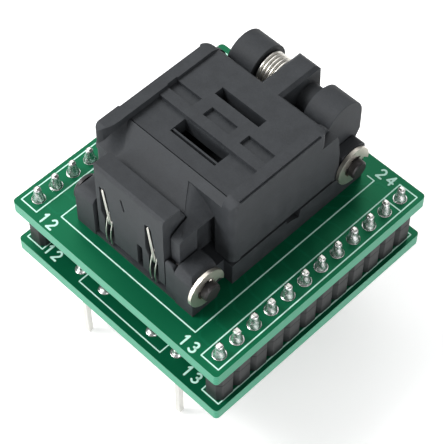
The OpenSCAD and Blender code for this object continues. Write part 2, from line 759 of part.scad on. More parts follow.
module latch_outline() {
    polygon(concat(
        [[-latch_y, latch_z], [-latch_y, latch_h - 0.45], [-latch_y + 0.12, latch_h - 0.15],
         [-latch_y + 0.4, latch_h], [-latch_rear, latch_h - 0.15],
         [-latch_rear + 0.1, slope_z(slope_end) + 0.35]],
        hinge_arc(arc_r + latch_gap, slope_z(slope_end) + 0.1, 7.2, 6),
        [[-shaft_y + 1.5, 5.6], [-shaft_y + 1.5, 3.2], [-shaft_y, latch_z + 0.25]]));
}

// slot of one spring: narrow in front of the leg, wide round the coils; x is the spring's tip
module spring_slot_cut(x) {
    // the leg's slot widens towards the coils, then closes to the room of the feet
    along_y(-latch_y - 1, -latch_y + 0.95) polygon([
        [x - 0.45, slot_top - 0.1], [x + 0.3, slot_top], [x + 0.5, slot_top - 0.35],
        [x + leg_lean + 0.4, 5.2], [x + leg_lean + 0.7, 4.4], [x + leg_lean + 0.7, latch_z - 1],
        [x + leg_lean - 0.7, latch_z - 1], [x + leg_lean - 0.7, 4.4], [x - 0.48, 5.3]]);
    // fork for the coils, open to the rear and below
    box([x + leg_lean - coil_room, -latch_y + 0.45, latch_z - 1],
        [x + leg_lean + coil_room, -block_y + 0.5, 6.4]);
}

module latch() {
    color(black) translate([0, 0, deck]) difference() {
        union() {
            along_x(latch_l, latch_r) latch_outline();
            bar_x(latch_hub, latch_l, latch_r, -shaft_y, shaft_z);
        }
        // flat front
        box([latch_l - 1, -latch_y - 2, 0], [latch_r + 1, -latch_y, shaft_z + 4]);
        bar_x(shaft_r + run_gap, -half_w, half_w, -shaft_y, shaft_z);
        spring_slot_cut(slot_l);
        spring_slot_cut(slot_r);
        // pocket beside the right spring
        box([slot_r - 1.8, -latch_y - 1, latch_z - 1], [slot_r - 1.0, -latch_y + 0.6, 4.7]);
        // short slanted nick between the slots
        along_y(-latch_y - 1, -latch_y + 0.25)
            polygon([[-1.75, 10.2], [-1.45, 10.3], [-1.05, 8.6], [-1.3, 8.5]]);
        // chamfer on the left upright edge
        translate([latch_l, -latch_y, 8]) rotate(45) cube([0.4, 0.4, 16], center = true);
    }
}

// one half of a double torsion spring: half of the hairpin leg, coils round the cross pin, foot
function half_spring(x, s) = concat(
    [for (i = [0:5]) let (t = i / 6)
        [x + leg_lean * t + s * leg_d * (0.54 + 0.3 * t), -latch_y + 0.05 + 0.1 * t,
         slot_top - 0.45 - (slot_top - 0.45 - shaft_z) * t]],
    coil(x + leg_lean + s * leg_d * 0.84, x + leg_lean + s * leg_foot, -shaft_y, shaft_z, leg_coil,
         180, 180 + 360, 24),
    [for (i = [1:4]) [x + leg_lean + s * (leg_foot - 0.01 * i), -shaft_y - leg_coil - 0.28 * sin(40 * i),
        shaft_z - (shaft_z - sill_h) * i / 4]]
);
module latch_springs() {
    color(tin) translate([0, 0, deck]) for (x = [slot_l, slot_r]) 
        wire(concat([for (i = [len(half_spring(x, 1)) - 1:-1:0]) half_spring(x, -1)[i]],
            [[x, -latch_y + 0.08, slot_top - 0.3]], half_spring(x, 1)), leg_d, 6);
}

upper_board();
lower_board();
upper_strips();
lower_strips();
dip_strips();
stack_pins();
dip_pins();
stack_solder();
stack_foot_solder();
dip_solder();
spare_caps();
socket_base();
chip_nest();
contacts_y();
contacts_x();
latch_pin();
bracket_pin();
retaining_rings();
hinge_bracket();
hinge_pin();
hinge_spring();
lid();
pressure_pad();
latch();
latch_springs();
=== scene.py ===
# %% [markdown]
# # Clamshell test socket on a two-board pin adapter
#
# The imported CAD model is the fixed frame. This scene dresses it: moulded plastic gets its soft
# edges, the boards get solder mask, printing and faint tracks, the pins get wet solder, and the
# springs become round wire.
#
# Sizes below are in millimetres and are turned into metres by `MM`. The heights of the two
# boards are read from the frame, so that everything laid on them follows the CAD model. The
# socket's own heights are counted from `DECK`, the upper board's top face.

import math

import bmesh
import bpy
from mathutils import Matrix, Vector


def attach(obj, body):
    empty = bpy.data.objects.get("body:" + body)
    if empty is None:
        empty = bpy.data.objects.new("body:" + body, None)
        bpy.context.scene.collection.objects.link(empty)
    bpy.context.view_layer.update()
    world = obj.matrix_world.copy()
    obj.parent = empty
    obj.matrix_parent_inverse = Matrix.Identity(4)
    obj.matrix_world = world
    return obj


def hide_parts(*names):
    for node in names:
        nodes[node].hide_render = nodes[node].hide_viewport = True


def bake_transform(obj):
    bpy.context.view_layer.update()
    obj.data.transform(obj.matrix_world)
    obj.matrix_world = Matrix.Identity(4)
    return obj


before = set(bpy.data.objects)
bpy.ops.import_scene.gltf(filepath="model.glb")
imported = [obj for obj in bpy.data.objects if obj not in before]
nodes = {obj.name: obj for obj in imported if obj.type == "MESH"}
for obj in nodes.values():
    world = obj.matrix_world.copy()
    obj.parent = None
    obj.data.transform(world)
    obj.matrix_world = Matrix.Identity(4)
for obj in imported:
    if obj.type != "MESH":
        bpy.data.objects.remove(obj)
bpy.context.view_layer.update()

MM = 0.001


def heights(node):
    """Lowest and highest point of a CAD node, in mm."""
    values = [v.co.z / MM for v in nodes[node].data.vertices]
    return round(min(values), 3), round(max(values), 3)


DECK = heights("upper_board")[1]
LOW_BASE, LOW_TOP = heights("lower_board")
print("board tops at", DECK, "and", LOW_TOP, "mm")

# %% [markdown]
# ## Pin rows
#
# All pins stand in rows of twelve at the same pitch. The rows' distances from the middle are
# whole or half steps of it, so they follow from the pitch instead of being typed one by one.

# %% Rows and columns
PITCH = 2.54
ROW_PINS = 12
ROW_HALF = PITCH * (ROW_PINS - 1) / 2
ROW_Y = [i * PITCH - ROW_HALF for i in range(ROW_PINS)]
STACK_X = 5.5 * PITCH
DIP_X = 3 * PITCH
SPARE_X = 1.5 * PITCH
print("rows at x =", SPARE_X, DIP_X, STACK_X, "mm, half length", ROW_HALF, "mm")

# %% [markdown]
# ## Shared shader groups
#
# Every finish here is slightly uneven: plastic has a fine grain, metal has faint clouds. Each
# material could carry its own noise nodes, but then a change means editing ten trees. Two node
# groups serve all of them instead. `Speckle` gives a soft two-scale noise on Object
# coordinates, and `Grain` turns such a noise into a shallow bump.

# %% Shader groups
def new_group(name, inputs, outputs):
    group = bpy.data.node_groups.new(name, "ShaderNodeTree")
    for label, kind, default in inputs:
        socket = group.interface.new_socket(label, in_out="INPUT", socket_type=kind)
        socket.default_value = default
    for label, kind in outputs:
        group.interface.new_socket(label, in_out="OUTPUT", socket_type=kind)
    return group, group.nodes.new("NodeGroupInput"), group.nodes.new("NodeGroupOutput")


def speckle_group():
    group, entry, leave = new_group(
        "Speckle",
        [("Scale", "NodeSocketFloat", 900.0), ("Mix", "NodeSocketFloat", 0.4)],
        [("Value", "NodeSocketFloat")],
    )
    link = group.links.new
    where = group.nodes.new("ShaderNodeTexCoord")
    coarse = group.nodes.new("ShaderNodeTexNoise")
    fine = group.nodes.new("ShaderNodeTexNoise")
    times = group.nodes.new("ShaderNodeMath")
    times.operation = "MULTIPLY"
    times.inputs[1].default_value = 7.0
    mix = group.nodes.new("ShaderNodeMix")
    for noise in (coarse, fine):
        noise.inputs["Detail"].default_value = 2.0
        link(where.outputs["Object"], noise.inputs["Vector"])
    link(entry.outputs["Scale"], coarse.inputs["Scale"])
    link(entry.outputs["Scale"], times.inputs[0])
    link(times.outputs[0], fine.inputs["Scale"])
    link(entry.outputs["Mix"], mix.inputs[0])
    link(coarse.outputs["Fac"], mix.inputs[2])
    link(fine.outputs["Fac"], mix.inputs[3])
    link(mix.outputs[0], leave.inputs[0])
    return group


def grain_group(speckle):
    group, entry, leave = new_group(
        "Grain",
        [
            ("Scale", "NodeSocketFloat", 3000.0),
            ("Strength", "NodeSocketFloat", 0.2),
            ("Depth", "NodeSocketFloat", 0.00003),
        ],
        [("Normal", "NodeSocketVector")],
    )
    link = group.links.new
    noise = group.nodes.new("ShaderNodeGroup")
    noise.node_tree = speckle
    bump = group.nodes.new("ShaderNodeBump")
    link(entry.outputs["Scale"], noise.inputs["Scale"])
    link(entry.outputs["Strength"], bump.inputs["Strength"])
    link(entry.outputs["Depth"], bump.inputs["Distance"])
    link(noise.outputs["Value"], bump.inputs["Height"])
    link(bump.outputs["Normal"], leave.inputs[0])
    return group


SPECKLE = speckle_group()
GRAIN = grain_group(SPECKLE)
print("shader groups:", SPECKLE.name, GRAIN.name)

# %% [markdown]
# ## Materials
#
# The socket is a dull black plastic with a fine grain, and the strips are a smoother one. The
# metals run from bright solder and tinned pins to blackened cross pins and gilt contacts.
# `surface` builds them all: a two-tone colour that the speckle blends, a roughness that follows
# the same speckle, and the shared grain. Separate trees would allow more, but one function with
# a few numbers for each finish keeps them easy to compare.

# %% Material builder
def surface(
    name,
    dark,
    light,
    rough,
    metal=0.0,
    scale=900.0,
    grain=(3000.0, 0.15, 0.00003),
    shine_level=0.5,
    tint=(1, 1, 1),
):
    """A material of two tones; grain is the (scale, strength, depth in metres) of its bump."""
    mat = bpy.data.materials.new(name)
    mat.use_nodes = True
    tree = mat.node_tree
    link = tree.links.new
    shader = tree.nodes["Principled BSDF"]
    speckle = tree.nodes.new("ShaderNodeGroup")
    speckle.node_tree = SPECKLE
    speckle.inputs["Scale"].default_value = scale
    tone = tree.nodes.new("ShaderNodeMix")
    tone.data_type = "RGBA"
    tone.inputs[6].default_value = (*dark, 1)
    tone.inputs[7].default_value = (*light, 1)
    sheen = tree.nodes.new("ShaderNodeMapRange")
    sheen.inputs["To Min"].default_value = rough[0]
    sheen.inputs["To Max"].default_value = rough[1]
    bump = tree.nodes.new("ShaderNodeGroup")
    bump.node_tree = GRAIN
    bump.inputs["Scale"].default_value = grain[0]
    bump.inputs["Strength"].default_value = grain[1]
    bump.inputs["Depth"].default_value = grain[2]
    link(speckle.outputs[0], tone.inputs[0])
    link(speckle.outputs[0], sheen.inputs["Value"])
    link(tone.outputs[2], shader.inputs["Base Color"])
    link(sheen.outputs[0], shader.inputs["Roughness"])
    link(bump.outputs[0], shader.inputs["Normal"])
    shader.inputs["Metallic"].default_value = metal
    shader.inputs["Specular IOR Level"].default_value = shine_level
    shader.inputs["Specular Tint"].default_value = (*tint, 1)
    return mat


# %% Plastics
SOCKET = surface(
    "socket_plastic",
    (0.010, 0.012, 0.015),
    (0.056, 0.061, 0.067),
    (0.5, 0.75),
    scale=700.0,
    grain=(2200.0, 0.45, 0.00006),
    shine_level=0.35,
)
STRIP = surface(
    "strip_plastic",
    (0.006, 0.007, 0.008),
    (0.013, 0.014, 0.015),
    (0.4, 0.55),
    grain=(2600.0, 0.12, 0.00003),
    shine_level=0.35,
)
print("plastics:", SOCKET.name, STRIP.name)

# %% Metals
TIN = surface(
    "pin_metal",
    (0.62, 0.61, 0.57),
    (0.80, 0.79, 0.76),
    (0.25, 0.4),
    metal=1.0,
    grain=(1500.0, 0.12, 0.00003),
)
SOLDER = surface(
    "solder",
    (0.58, 0.58, 0.58),
    (0.92, 0.92, 0.92),
    (0.2, 0.34),
    metal=0.95,
    scale=1500.0,
    grain=(700.0, 0.4, 0.0001),
)
RING = surface(
    "ring_steel",
    (0.60, 0.56, 0.49),
    (0.80, 0.76, 0.68),
    (0.3, 0.45),
    metal=1.0,
    grain=(1200.0, 0.1, 0.00002),
)
DARK_STEEL = surface(
    "dark_steel",
    (0.018, 0.017, 0.018),
    (0.040, 0.037, 0.038),
    (0.35, 0.5),
    metal=0.5,
    grain=(1500.0, 0.2, 0.00003),
)
WIRE = surface(
    "spring_wire",
    (0.62, 0.60, 0.55),
    (0.84, 0.82, 0.77),
    (0.25, 0.4),
    metal=1.0,
    grain=(1500.0, 0.08, 0.00002),
)
GOLD = surface("contact_metal", (0.70, 0.48, 0.18), (0.85, 0.63, 0.28), (0.22, 0.34), metal=1.0)
print("metals:", *(mat.name for mat in (TIN, SOLDER, RING, DARK_STEEL, WIRE, GOLD)))

# %% [markdown]
# ## The boards' finish
#
# A printed board is a glass-fibre sheet under a coat of green solder mask. From above the mask
# gives a deep green with a green sheen, so its reflections are tinted too. On the cut edges the
# pale fibre layers show. Two materials and a face selection would do the same, but the CAD
# node stays as it is, so one material picks its colour by which way the surface faces.

# %% Mask, print and tracks
MASK_TINT = (0.10, 1.0, 0.45)
SILK = surface(
    "print_white",
    (0.56, 0.92, 0.78),
    (0.68, 1.0, 0.88),
    (0.55, 0.7),
    grain=(3000.0, 0.1, 0.00002),
    shine_level=0.3,
)
TRACK = surface(
    "masked_track",
    (0.003, 0.096, 0.044),
    (0.004, 0.114, 0.053),
    (0.32, 0.42),
    shine_level=0.6,
    tint=MASK_TINT,
)


def board_material():
    """Solder mask on the two faces and bare fibreglass, with its layers, on the cut edges."""
    mat = surface(
        "solder_mask",
        (0.002, 0.078, 0.034),
        (0.003, 0.098, 0.044),
        (0.3, 0.42),
        scale=160.0,
        shine_level=0.6,
        tint=MASK_TINT,
    )
    tree = mat.node_tree
    link = tree.links.new
    shader = tree.nodes["Principled BSDF"]
    mask = shader.inputs["Base Color"].links[0].from_socket
    geometry = tree.nodes.new("ShaderNodeNewGeometry")
    split = tree.nodes.new("ShaderNodeSeparateXYZ")
    stripes = tree.nodes.new("ShaderNodeTexWave")
    stripes.wave_type = "BANDS"
    stripes.bands_direction = "Z"
    stripes.inputs["Scale"].default_value = 900.0
    stripes.inputs["Distortion"].default_value = 1.5
    place = tree.nodes.new("ShaderNodeTexCoord")
    layers = tree.nodes.new("ShaderNodeMix")
    layers.data_type = "RGBA"
    layers.inputs[6].default_value = (0.03, 0.24, 0.14, 1)
    layers.inputs[7].default_value = (0.06, 0.35, 0.22, 1)
    upright = tree.nodes.new("ShaderNodeMath")
    upright.operation = "ABSOLUTE"
    on_face = tree.nodes.new("ShaderNodeMath")
    on_face.operation = "GREATER_THAN"
    on_face.inputs[1].default_value = 0.6
    choose = tree.nodes.new("ShaderNodeMix")
    choose.data_type = "RGBA"
    link(place.outputs["Object"], stripes.inputs["Vector"])
    link(stripes.outputs["Fac"], layers.inputs[0])
    link(geometry.outputs["True Normal"], split.inputs[0])
    link(split.outputs["Z"], upright.inputs[0])
    link(upright.outputs[0], on_face.inputs[0])
    link(on_face.outputs[0], choose.inputs[0])
    link(layers.outputs[2], choose.inputs[6])
    link(mask, choose.inputs[7])
    link(choose.outputs[2], shader.inputs["Base Color"])
    return mat


BOARD = board_material()
print("materials:", len(bpy.data.materials))

# %% [markdown]
# ## Finishes on the CAD nodes
#
# Some nodes are shown as they come from the CAD model, such as the boards and the pins. Others
# get a finer piece that stands for them further on. All of them are painted here, so that a
# node looks right whether or not a finer piece replaces it.

# %% Paint the frame
FINISH = {
    BOARD: ["upper_board", "lower_board"],
    STRIP: ["upper_strips", "lower_strips", "dip_strips"],
    TIN: ["stack_pins", "dip_pins"],
    SOLDER: ["stack_solder", "stack_foot_solder", "dip_solder", "spare_caps"],
    GOLD: ["contacts_y", "contacts_x"],
    RING: ["retaining_rings"],
    DARK_STEEL: ["latch_pin", "bracket_pin", "hinge_pin"],
    WIRE: ["hinge_spring", "latch_springs"],
    SOCKET: ["socket_base", "chip_nest", "hinge_bracket", "lid", "pressure_pad", "latch"],
}
for mat, names in FINISH.items():
    for name in names:
        nodes[name].data.materials.clear()
        nodes[name].data.materials.append(mat)
print("painted:", sum(len(names) for names in FINISH.values()), "nodes")

# %% [markdown]
# ## Moulded parts
#
# The socket's parts and the pin strips come out of a mould, so no edge is knife sharp. Edges
# could be rounded in the CAD model, but there each small radius costs time and file size. Here
# a merged copy of the node gets a Bevel modifier instead. The copy is made of loose triangles,
# so they are joined first and the flat faces cleared of their diagonals. It stays inside the
# node's own box and stands for it.

# %% Mesh helpers
def into_scene(obj):
    bpy.context.scene.collection.objects.link(obj)
    return obj


def add_object(name, mesh, mat, body):
    """A new piece that rides on a body, with its material."""
    obj = into_scene(bpy.data.objects.new(name, mesh))
    if not mesh.materials:
        mesh.materials.append(mat)
    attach(obj, body)
    return obj


def shell_mesh(name, verts, faces, smooth=True):
    """A mesh of one or more closed shells (metres) whose faces all point outwards."""
    mesh = bpy.data.meshes.new(name)
    mesh.from_pydata(verts, [], faces)
    bm = bmesh.new()
    bm.from_mesh(mesh)
    bmesh.ops.recalc_face_normals(bm, faces=bm.faces)
    bm.to_mesh(mesh)
    bm.free()
    for face in mesh.polygons:
        face.use_smooth = smooth
    return mesh


def evaluated_copy(obj):
    """A plain mesh with the object's modifiers applied."""
    bpy.context.view_layer.update()
    return bpy.data.meshes.new_from_object(obj.evaluated_get(bpy.context.evaluated_depsgraph_get()))


def clean_copy(node):
    """The node's mesh with its triangles joined and its flat faces whole."""
    mesh = nodes[node].data.copy()
    bm = bmesh.new()
    bm.from_mesh(mesh)
    bmesh.ops.remove_doubles(bm, verts=bm.verts, dist=2e-6)
    bmesh.ops.dissolve_limit(bm, angle_limit=math.radians(1.0), verts=bm.verts, edges=bm.edges)
    bm.to_mesh(mesh)
    bm.free()
    return mesh


print("lid before merging:", len(nodes["lid"].data.polygons), "loose triangles")

# %% [markdown]
# ## The lid's shaped corners
#
# Four spots of the lid are softer than a plain bevel makes them: the left strip's rounded front
# end, the hollow fillet from that strip down to the slope, the cheek beside the latch, and the
# open seam above the base. Sculpting would do it too, but a curve can be checked and changed.
# Each spot is a loft, which is a skin through closed sections, added to the lid's copy or taken
# from it by a Boolean.

# %% Loft and slope
SLOPE_TOP_Y, SLOPE_TOP_Z, SLOPE_ANGLE = -5.9, 12.5, 29
# A cut reaches up to ABOVE, clear of the lid, and stops a SKIN above the slope.
ABOVE, SKIN = 14.2, 0.01
# Power of the hollow curves: 1 would be a straight chamfer.
HOLLOW = 1.8


def slope_height(y):
    """Height of the lid's sloped front at y."""
    return SLOPE_TOP_Z + (y - SLOPE_TOP_Y) * math.tan(math.radians(SLOPE_ANGLE))


def carved(mesh, sections, operation):
    """The mesh with a loft through sections (mm, z from the deck) added or taken away."""
    count = len(sections[0])
    verts = [(x * MM, y * MM, (z + DECK) * MM) for section in sections for x, y, z in section]
    faces = []
    for a in range(0, len(verts) - count, count):
        b = a + count
        for i in range(count):
            k = (i + 1) % count
            faces.append((a + i, b + i, b + k, a + k))
    faces.append(range(count))
    faces.append(range(len(verts) - 1, len(verts) - count - 1, -1))
    tool = into_scene(bpy.data.objects.new("tool", shell_mesh("loft", verts, faces, smooth=False)))
    holder = into_scene(bpy.data.objects.new("holder", mesh))
    change = holder.modifiers.new("change", "BOOLEAN")
    change.operation = operation
    change.solver = "EXACT"
    change.object = tool
    result = evaluated_copy(holder)
    bpy.data.objects.remove(holder)
    bpy.data.objects.remove(tool)
    return result


print("slope from", SLOPE_TOP_Z, "down to", round(slope_height(-11.6), 2), "mm above the deck")

# %% Left strip's end and fillet
def strip_end():
    """What is cut away so that the strip ends in a quarter of an ellipse."""
    middle_x, middle_y, radius_x, radius_y = -8.75, -7.6, 1.5, 2.0
    inner_x, outer_x, front_y = -6.9, -9.2, -10.2
    turn = [math.radians(a) for a in range(0, -91, -10)]
    plan = [(inner_x, middle_y)]
    plan += [(middle_x + radius_x * math.cos(a), middle_y + radius_y * math.sin(a)) for a in turn]
    plan += [(outer_x, middle_y - radius_y - SKIN), (outer_x, front_y), (inner_x, front_y)]
    low = [(x, y, slope_height(y) + SKIN) for x, y in plan]
    high = [(x, y, ABOVE) for x, y in plan]
    return [low, high]


def strip_fillet():
    """A hollow curve from the strip's side to the slope; it opens at 45 degrees to the front."""
    wall_x, inside_x, buried = -7.3, -8.55, 0.5
    back_y, length, last = -5.98, 3.6, 9
    narrowest, widest, front_width = 0.08, 2.3, 1.15
    # From turn_y to the front the curve also gets lower, by the share front_loss.
    turn_y, turn_rise, front_length, front_loss = -8, 1.16, 1.58, 0.75
    sections = []
    for i in range(last + 1):
        forward = length * i / last
        y = back_y - forward
        foot = slope_height(y)
        rise = SLOPE_TOP_Z - foot
        if y <= turn_y:
            rise = turn_rise * (1 - front_loss * ((turn_y - y) / front_length) ** 2)
        width = front_width if i == last else min(widest, narrowest + forward)
        curve = [
            (wall_x + width * j / 6, y, foot + SKIN + rise * (1 - j / 6) ** HOLLOW)
            for j in range(7)
        ]
        under = [(wall_x + width, y, foot - buried), (inside_x, y, foot - buried)]
        sections.append([(inside_x, y, foot + rise - 2 * SKIN), *curve, *under])
    return sections


print("fillet:", len(strip_fillet()), "sections of", len(strip_fillet()[0]), "points")

# %% Cheek and seam
def soft_cheek():
    """What is cut from the edge beside the latch: a round that grows with the slope."""
    side_x, outer_x, cheek_top = 6.1, 6.6, 9.6
    front_y, length, last = -11.601, 4.7, 8
    least_width, width_per_rise = 0.35, 1.4
    sections = []
    for i in range(last + 1):
        y = front_y + length * i / last
        rise = max(SKIN, slope_height(y) - cheek_top)
        width = least_width + width_per_rise * rise
        curve = [
            (side_x - width * (1 - j / 8), y, cheek_top + rise * (1 - (j / 8) ** HOLLOW))
            for j in range(9)
        ]
        above = [(outer_x, y, cheek_top), (outer_x, y, ABOVE), (side_x - width, y, ABOVE)]
        sections.append([*curve, *above])
    return sections


def seam(side):
    """A shallow gap under the lid's long edge, on one side (-1 or 1)."""
    inner_x, outer_x, low, high = side * 8.35, side * 9.1, 3.3, 3.74
    return [
        [(inner_x, y, low), (outer_x, y, low), (outer_x, y, high), (inner_x, y, high)]
        for y in (-5.8, 8.3)
    ]


def lid_copy():
    """The clean lid with its four soft spots."""
    mesh = carved(clean_copy("lid"), strip_end(), "DIFFERENCE")
    mesh = carved(mesh, strip_fillet(), "UNION")
    mesh = carved(mesh, soft_cheek(), "DIFFERENCE")
    for side in (-1, 1):
        mesh = carved(mesh, seam(side), "DIFFERENCE")
    return mesh


print("cheek:", len(soft_cheek()), "sections")

# %% Soft-edged copies
def moulded(node, mesh, width, body, segments):
    """A piece with rounded edges (width in mm) that stands for the node."""
    obj = add_object(node + ".moulded", mesh, nodes[node].data.materials[0], body)
    bevel = obj.modifiers.new("soft edges", "BEVEL")
    bevel.width = width * MM
    bevel.segments = segments
    bevel.limit_method = "ANGLE"
    bevel.angle_limit = math.radians(32)
    bevel.use_clamp_overlap = True
    for face in obj.data.polygons:
        face.use_smooth = True
    smooth = obj.modifiers.new("even normals", "WEIGHTED_NORMAL")
    smooth.keep_sharp = True
    smooth.weight = 80
    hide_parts(node)
    print(obj.name, len(mesh.polygons), "faces before bevel")


for node, width, body in [
    ("socket_base", 0.10, "adapter"),
    ("hinge_bracket", 0.12, "adapter"),
    ("lid", 0.10, "lid"),
    ("pressure_pad", 0.08, "lid"),
    ("latch", 0.10, "latch"),
]:
    mesh = lid_copy() if node == "lid" else clean_copy(node)
    moulded(node, mesh, width, body, 2)
for node in ("upper_strips", "lower_strips", "dip_strips"):
    moulded(node, clean_copy(node), 0.06, "adapter", 1)

# %% [markdown]
# ## Repeated joints as Geometry Nodes
#
# Ninety-six solder joints sit on the boards in rows of twelve. No two real ones are quite the
# same. Copying objects by hand would be slow to change, so one node group repeats a source
# piece along a row, turns each at random about its axis and varies its size a little, with a
# fixed seed. Its inputs have names, so the same group serves the stacking pins, the long pins
# and the spare holes.

# %% Row group
def row_group():
    group = bpy.data.node_groups.new("Row of joints", "GeometryNodeTree")
    face = group.interface
    face.new_socket("Geometry", in_out="INPUT", socket_type="NodeSocketGeometry")
    for label, kind in [
        ("Joint", "NodeSocketObject"),
        ("Count", "NodeSocketInt"),
        ("Pitch", "NodeSocketFloat"),
        ("Start", "NodeSocketVector"),
        ("Least Scale", "NodeSocketFloat"),
        ("Seed", "NodeSocketInt"),
        ("Material", "NodeSocketMaterial"),
    ]:
        face.new_socket(label, in_out="INPUT", socket_type=kind)
    face.new_socket("Geometry", in_out="OUTPUT", socket_type="NodeSocketGeometry")
    make = group.nodes.new
    link = group.links.new
    entry = make("NodeGroupInput")
    leave = make("NodeGroupOutput")
    line = make("GeometryNodeMeshLine")
    step = make("ShaderNodeCombineXYZ")
    source = make("GeometryNodeObjectInfo")
    place = make("GeometryNodeInstanceOnPoints")
    turn = make("FunctionNodeRandomValue")
    turn.data_type = "FLOAT_VECTOR"
    turn.inputs[0].default_value = (0, 0, 0)
    turn.inputs[1].default_value = (0, 0, 2 * math.pi)
    size = make("FunctionNodeRandomValue")
    size.data_type = "FLOAT"
    size.inputs[3].default_value = 1.0
    real = make("GeometryNodeRealizeInstances")
    paint = make("GeometryNodeSetMaterial")
    link(entry.outputs["Count"], line.inputs["Count"])
    link(entry.outputs["Start"], line.inputs["Start Location"])
    link(entry.outputs["Pitch"], step.inputs["Y"])
    link(step.outputs[0], line.inputs["Offset"])
    link(entry.outputs["Joint"], source.inputs["Object"])
    link(line.outputs[0], place.inputs["Points"])
    link(source.outputs["Geometry"], place.inputs["Instance"])
    link(entry.outputs["Seed"], turn.inputs["Seed"])
    link(entry.outputs["Seed"], size.inputs["Seed"])
    link(entry.outputs["Least Scale"], size.inputs[2])
    link(turn.outputs[0], place.inputs["Rotation"])
    link(size.outputs[1], place.inputs["Scale"])
    link(place.outputs[0], real.inputs[0])
    link(real.outputs[0], paint.inputs["Geometry"])
    link(entry.outputs["Material"], paint.inputs["Material"])
    link(paint.outputs[0], leave.inputs[0])
    return group


ROW = row_group()
SOCKET_ID = {s.name: s.identifier for s in ROW.interface.items_tree if s.in_out == "INPUT"}
print("row inputs:", ", ".join(SOCKET_ID))

# %% [markdown]
# ## One joint of each kind
#
# Molten solder wets the pad and climbs the pin, so its side is a hollow curve: wide at the
# foot, thin at the top. A turned profile gives that shape with few faces. A little wobble
# keeps it from looking machined.

# %% Lathed sources
def lathe(name, profile, sides=28, wobble=0.0, seed=1):
    """A closed turned piece from (radius, height) pairs in mm; wobble makes it slightly uneven."""
    verts, faces = [], []
    for j, (r, z) in enumerate(profile):
        for i in range(sides):
            a = 2 * math.pi * i / sides
            swell = (0.5 + 0.5 * math.sin(2 * a + seed + 0.7 * j)) * (0.5 + 0.5 * math.cos(3 * a - seed + j))
            k = 1 - wobble * swell
            verts.append((r * k * math.cos(a) * MM, r * k * math.sin(a) * MM, z * MM))
    for j in range(len(profile) - 1):
        for i in range(sides):
            k = (i + 1) % sides
            faces.append((j * sides + i, j * sides + k, (j + 1) * sides + k, (j + 1) * sides + i))
    faces.append(tuple(reversed(range(sides))))
    faces.append(tuple(range((len(profile) - 1) * sides, len(profile) * sides)))
    return bpy.data.objects.new(name, shell_mesh(name, verts, faces))


def climbing(foot, wide, thin, height, tip, power=2.2, steps=9):
    """Profile of solder that climbs a pin, from its foot's radius to its tip (radius, height)."""
    flank = [
        (thin + (wide - thin) * (1 - i / steps) ** power, height * i / steps)
        for i in range(1, steps + 1)
    ]
    return [(foot, 0.0), *flank, tip]


CAP_R, CAP_H = 0.74, 0.32
quarter = [math.radians(a) for a in range(0, 91, 10)]
cap = [(CAP_R * math.cos(a) + 0.002, CAP_H * math.sin(a)) for a in quarter]
hanging = [(r, -z) for r, z in climbing(0.76, 0.78, 0.46, 0.72, (0.36, 0.76))]
STACK_JOINT = lathe("source.stack", climbing(0.79, 0.80, 0.43, 1.62, (0.39, 1.76), power=1.7), wobble=0.1)
FOOT_JOINT = lathe("source.foot", hanging, wobble=0.08)
DIP_JOINT = lathe("source.dip", climbing(0.76, 0.78, 0.46, 0.74, (0.34, 0.80)), wobble=0.1, seed=2)
CAP_JOINT = lathe("source.cap", cap, wobble=0.06)
print("sources: stack, foot, dip, cap")

# %% Solder rows
def solder_rows(node, source, x, z, least_scale, seed):
    """Two rows at -x and +x (mm), made by the group and joined into one piece for the node."""
    verts, polys = [], []
    for k, side in enumerate((-1, 1)):
        holder = into_scene(bpy.data.objects.new("holder", bpy.data.meshes.new("holder")))
        modifier = holder.modifiers.new("row", "NODES")
        modifier.node_group = ROW
        modifier[SOCKET_ID["Joint"]] = source
        modifier[SOCKET_ID["Count"]] = ROW_PINS
        modifier[SOCKET_ID["Pitch"]] = PITCH * MM
        modifier[SOCKET_ID["Start"]] = (side * x * MM, -ROW_HALF * MM, z * MM)
        modifier[SOCKET_ID["Least Scale"]] = least_scale
        modifier[SOCKET_ID["Seed"]] = seed + k
        modifier[SOCKET_ID["Material"]] = SOLDER
        mesh = evaluated_copy(holder)
        offset = len(verts)
        verts += [v.co.copy() for v in mesh.vertices]
        polys += [[i + offset for i in p.vertices] for p in mesh.polygons]
        bpy.data.objects.remove(holder)
    name = node + ".wet"
    obj = add_object(name, shell_mesh(name, verts, polys), SOLDER, "adapter")
    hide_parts(node)
    print(name, len(polys), "faces")


solder_rows("stack_solder", STACK_JOINT, STACK_X, DECK, 0.93, 3)
solder_rows("stack_foot_solder", FOOT_JOINT, STACK_X, LOW_BASE, 0.93, 5)
solder_rows("dip_solder", DIP_JOINT, DIP_X, LOW_TOP, 0.92, 8)
solder_rows("spare_caps", CAP_JOINT, SPARE_X, LOW_TOP, 0.9, 13)

# %% [markdown]
# ## Printing on the boards
#
# The white frames and pin numbers are ink, printed a few hundredths of a millimetre thick. An
# image would need its own map and would blur up close. Thin raised strokes with round ends,
# laid on the board's top face, stay crisp at any distance.

